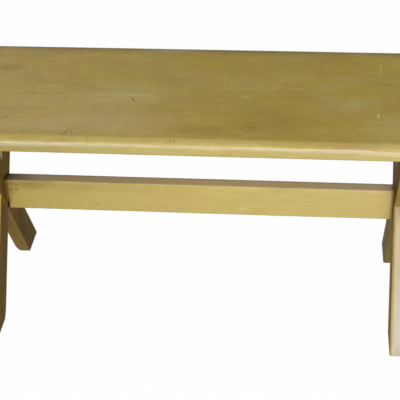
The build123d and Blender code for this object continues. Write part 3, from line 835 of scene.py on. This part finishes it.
def turned_tree(name, sides, rings, outline, sizes):
    """Sets one turned shape on each point, along the aim that the point carries."""
    tree, given = new_tree(name, dict.fromkeys(sizes, "Float"))
    bar = add(tree, "GeometryNodeMeshCylinder", {"Vertices": sides, "Side Segments": rings, "Radius": 1.0,
                                                 "Depth": 1.0})
    place = add(tree, "GeometryNodeInputPosition")
    x, y, z = add(tree, "ShaderNodeSeparateXYZ", {0: place}).outputs
    share = add(tree, "ShaderNodeMath", {0: 0.5, 1: z}, operation="SUBTRACT")
    depth = add(tree, "ShaderNodeMath", {0: share, 1: given["Length"]}, operation="MULTIPLY")
    radius = outline(tree, given, depth, add(tree, "ShaderNodeMath", {0: y, 1: x}, operation="ARCTAN2"))
    hung = add(tree, "ShaderNodeVectorMath", {0: place, 1: (0.0, 0.0, -0.5)}, operation="ADD")
    stretch = add(tree, "ShaderNodeCombineXYZ", {"X": radius, "Y": radius, "Z": given["Length"]})
    spot = add(tree, "ShaderNodeVectorMath", {0: hung, 1: stretch}, operation="MULTIPLY")
    shape = add(tree, "GeometryNodeSetPosition", {"Geometry": bar, "Position": spot})
    if "Slot width" in sizes:
        cutter = add(tree, "ShaderNodeCombineXYZ", {"X": given["Slot length"], "Y": given["Slot width"],
                                                    "Z": given["Slot cutter height"]})
        shape = add(tree, "GeometryNodeMeshBoolean", {"Mesh 1": shape, "Mesh 2": add(tree, "GeometryNodeMeshCube",
                                                                                     {"Size": cutter})},
                    operation="DIFFERENCE", solver="EXACT")
        height = add(tree, "ShaderNodeSeparateXYZ", {0: place}).outputs["Z"]
        on_top = fade(tree, height, given["Bare below"], given["Coated above"])
        shape = add(tree, "GeometryNodeStoreNamedAttribute", {"Geometry": shape, "Name": "coated", "Value": on_top},
                    data_type="FLOAT", domain="POINT")
    aim = add(tree, "GeometryNodeInputNamedAttribute", {"Name": "aim"}, data_type="FLOAT_VECTOR")
    turn = add(tree, "FunctionNodeEulerToRotation", {0: aim})
    placed = add(tree, "GeometryNodeInstanceOnPoints", {"Points": given["Geometry"], "Instance": creased(tree, shape),
                                                        "Rotation": turn})
    whole = add(tree, "GeometryNodeRealizeInstances", {"Geometry": placed})
    painted = add(tree, "GeometryNodeSetMaterial", {"Geometry": whole, "Material": given["Finish"]})
    add(tree, "NodeGroupOutput", {"Geometry": painted})
    return tree


def loose_parts(node):
    """The corners of each separate solid in a CAD node."""
    net = bmesh.new()
    net.from_mesh(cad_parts[node].data)
    bmesh.ops.remove_doubles(net, verts=net.verts, dist=MERGE_REACH)
    parts, seen = [], set()
    for first in net.verts:
        if first in seen:
            continue
        seen.add(first)
        grown = [first]
        for vert in grown:
            for near in (edge.other_vert(vert) for edge in vert.link_edges):
                if near not in seen:
                    seen.add(near)
                    grown.append(near)
        parts.append([vert.co.copy() for vert in grown])
    net.free()
    return parts


def fastener_place(corners):
    """Where a straight fastener's head is, its aim, its length and its radius."""
    low = Vector(min(c[i] for c in corners) for i in range(3))
    high = Vector(max(c[i] for c in corners) for i in range(3))
    spans = high - low
    axis = max(range(3), key=lambda i: spans[i])
    others = [i for i in range(3) if i != axis]
    middle = (low + high) / 2

    def width_near(end):
        ring = [c for c in corners if abs(c[axis] - end) < END_REACH]
        return max(math.hypot(*(c[i] - middle[i] for i in others)) for c in ring)

    head_end, tip_end = sorted((low[axis], high[axis]), key=width_near, reverse=True)
    back = Vector((0, 0, 0))
    back[axis] = math.copysign(1.0, head_end - tip_end)
    floor = head_end - back[axis] * SLOT_SHARE * width_near(head_end)
    slot = [c - middle for c in corners if abs(c[axis] - floor) < SLOT_REACH]
    along, second = (Vector(1.0 if i == other else 0.0 for i in range(3)) for other in others)
    radius = spans[others[1]] / 2  # of a plain pin, and below of a screw's head
    if slot:
        radius = width_near(head_end)
        uu, vv = (sum(s.dot(way) ** 2 for s in slot) for way in (along, second))
        uv = sum(s.dot(along) * s.dot(second) for s in slot)
        turn = math.atan2(2 * uv, uu - vv) / 2
        along = along * math.cos(turn) + second * math.sin(turn)
    head = middle.copy()
    head[axis] = head_end
    aim = Matrix((along, back.cross(along), back)).transposed().to_euler("XYZ")
    return head, aim, spans[axis], radius


def fasteners(node, tree, sizes, finish):
    """One piece that stands for all the solids of a CAD node of straight fasteners."""
    heads, aims, lengths, radii = zip(*(fastener_place(part) for part in loose_parts(node)))
    mesh = bpy.data.meshes.new(node + "_places")
    mesh.from_pydata(heads, [], [])
    carried = mesh.attributes.new("aim", "FLOAT_VECTOR", "POINT")
    for item, aim in zip(carried.data, aims):
        item.vector = aim
    piece = link(node + "_turned", mesh)
    values = {label: of_length * lengths[0] + of_radius * radii[0]
              for label, (of_length, of_radius) in sizes.items()}
    run_tree(piece, tree, {**values, "Finish": finish})
    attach(piece, "root")
    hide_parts(node)


def grain_turn_of(way):
    """Lays a leg's length, which leans over from its foot, along X."""
    upright = Matrix.Rotation(-way * LEG_LEAN, 3, "X")
    laid = Matrix.Rotation(math.radians(90), 3, "Y")
    return tuple((laid @ upright).to_euler("XYZ"))


make_camera()
make_world()
make_floor()
make_lamps()
bpy.context.scene.view_settings.view_transform = "Standard"

# Each board: its node, its cuts, the turn that lays its grain along X, its paint and how
# deep its edges are rubbed
LEVEL, CROSSWAYS = (0.0, 0.0, 0.0), (0.0, 0.0, math.radians(90))
WAVE_LENGTH, WAVE_DEPTH = 110 * MM, 0.7 * MM
GENTLE_WEAR, PLAIN_WEAR = 0.7 * MM, 0.9 * MM
wear = wear_tree()
seat_paint = painted_timber("worn_mustard_paint_seat", LEVEL, 1.0, seat_layers, 0.16, 0.42, nose_polish)
rail_paint = painted_timber("worn_mustard_paint_stretcher", LEVEL, 4.0, rail_layers, 0.1, 0.5)

seat_cuts = (((1, 0, 0), 8 * MM), ((0, 1, 0), 5 * MM), ((0, 0, 1), 6 * MM))
rail_cuts = (((1, 0, 0), 8 * MM), ((0, 0, 1), 5 * MM), ((0, 1, 0), 5 * MM))
boards = [(node, seat_cuts, LEVEL, seat_paint, GENTLE_WEAR) for node in ("seat_board_front", "seat_board_back")]
boards.append(("stretcher", rail_cuts, LEVEL, rail_paint, PLAIN_WEAR))
for foot, way in FEET.items():
    turn = grain_turn_of(way)
    along = Vector((0, -way * math.sin(LEG_LEAN), math.cos(LEG_LEAN)))
    across = Vector((0, math.cos(LEG_LEAN), way * math.sin(LEG_LEAN)))
    cuts = ((along, 7 * MM), (across, 5 * MM), ((1, 0, 0), 5 * MM))
    paint = painted_timber(f"worn_mustard_paint_{foot}_foot_legs", turn, 8.0 + way, leg_layers, 0.04, 0.65)
    boards += [(f"{side}_{foot}_foot_leg", cuts, turn, paint, PLAIN_WEAR) for side in SIDES]
cleat_cuts = (((0, 1, 0), 7 * MM), ((0, 0, 1), 5 * MM), ((1, 0, 0), 5 * MM))
cleat_paint = painted_timber("worn_mustard_paint_cleats", CROSSWAYS, 14.0, leg_layers, 0.04, 0.65)
boards += [(f"{side}_cleat", cleat_cuts, CROSSWAYS, cleat_paint, GENTLE_WEAR) for side in SIDES]

for index, (node, cuts, turn, finish, arris_wear) in enumerate(boards):
    piece = even_net(node, cuts)
    run_tree(piece, wear, {"Grain turn": turn, "Wave length": WAVE_LENGTH, "Wave depth": WAVE_DEPTH,
                           "Arris wear": arris_wear, "Seed": 3.0 + index, "Finish": finish})
    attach(piece, "root")
    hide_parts(node)

screws = turned_tree("slotted wood screw", SCREW_SIDES, SCREW_RINGS, screw_outline, SCREW_SIZES)
screw_finish = old_steel("dull_steel_screws_painted_over", "#8F8A80", "#5B3D26", "#B79C55")
for side in SIDES:
    for kind in ("stretcher", "lap", "cleat", "seat"):
        fasteners(f"{side}_{kind}_screws", screws, SCREW_SIZES, screw_finish)
pins = turned_tree("fluted dowel", DOWEL_SIDES, DOWEL_RINGS, dowel_outline, DOWEL_SIZES)
beech = painted_timber("bare_beech_dowels", CROSSWAYS, 20.0, beech_layers, 0.3, 0.6)
fasteners("seat_joint_dowels", pins, DOWEL_SIZES, beech)
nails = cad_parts["stretcher_nails"].data.materials
nails.clear()
nails.append(painted_timber("rusty_nail_heads_painted_over", LEVEL, 30.0, nail_layers, 0.1, 0.6))
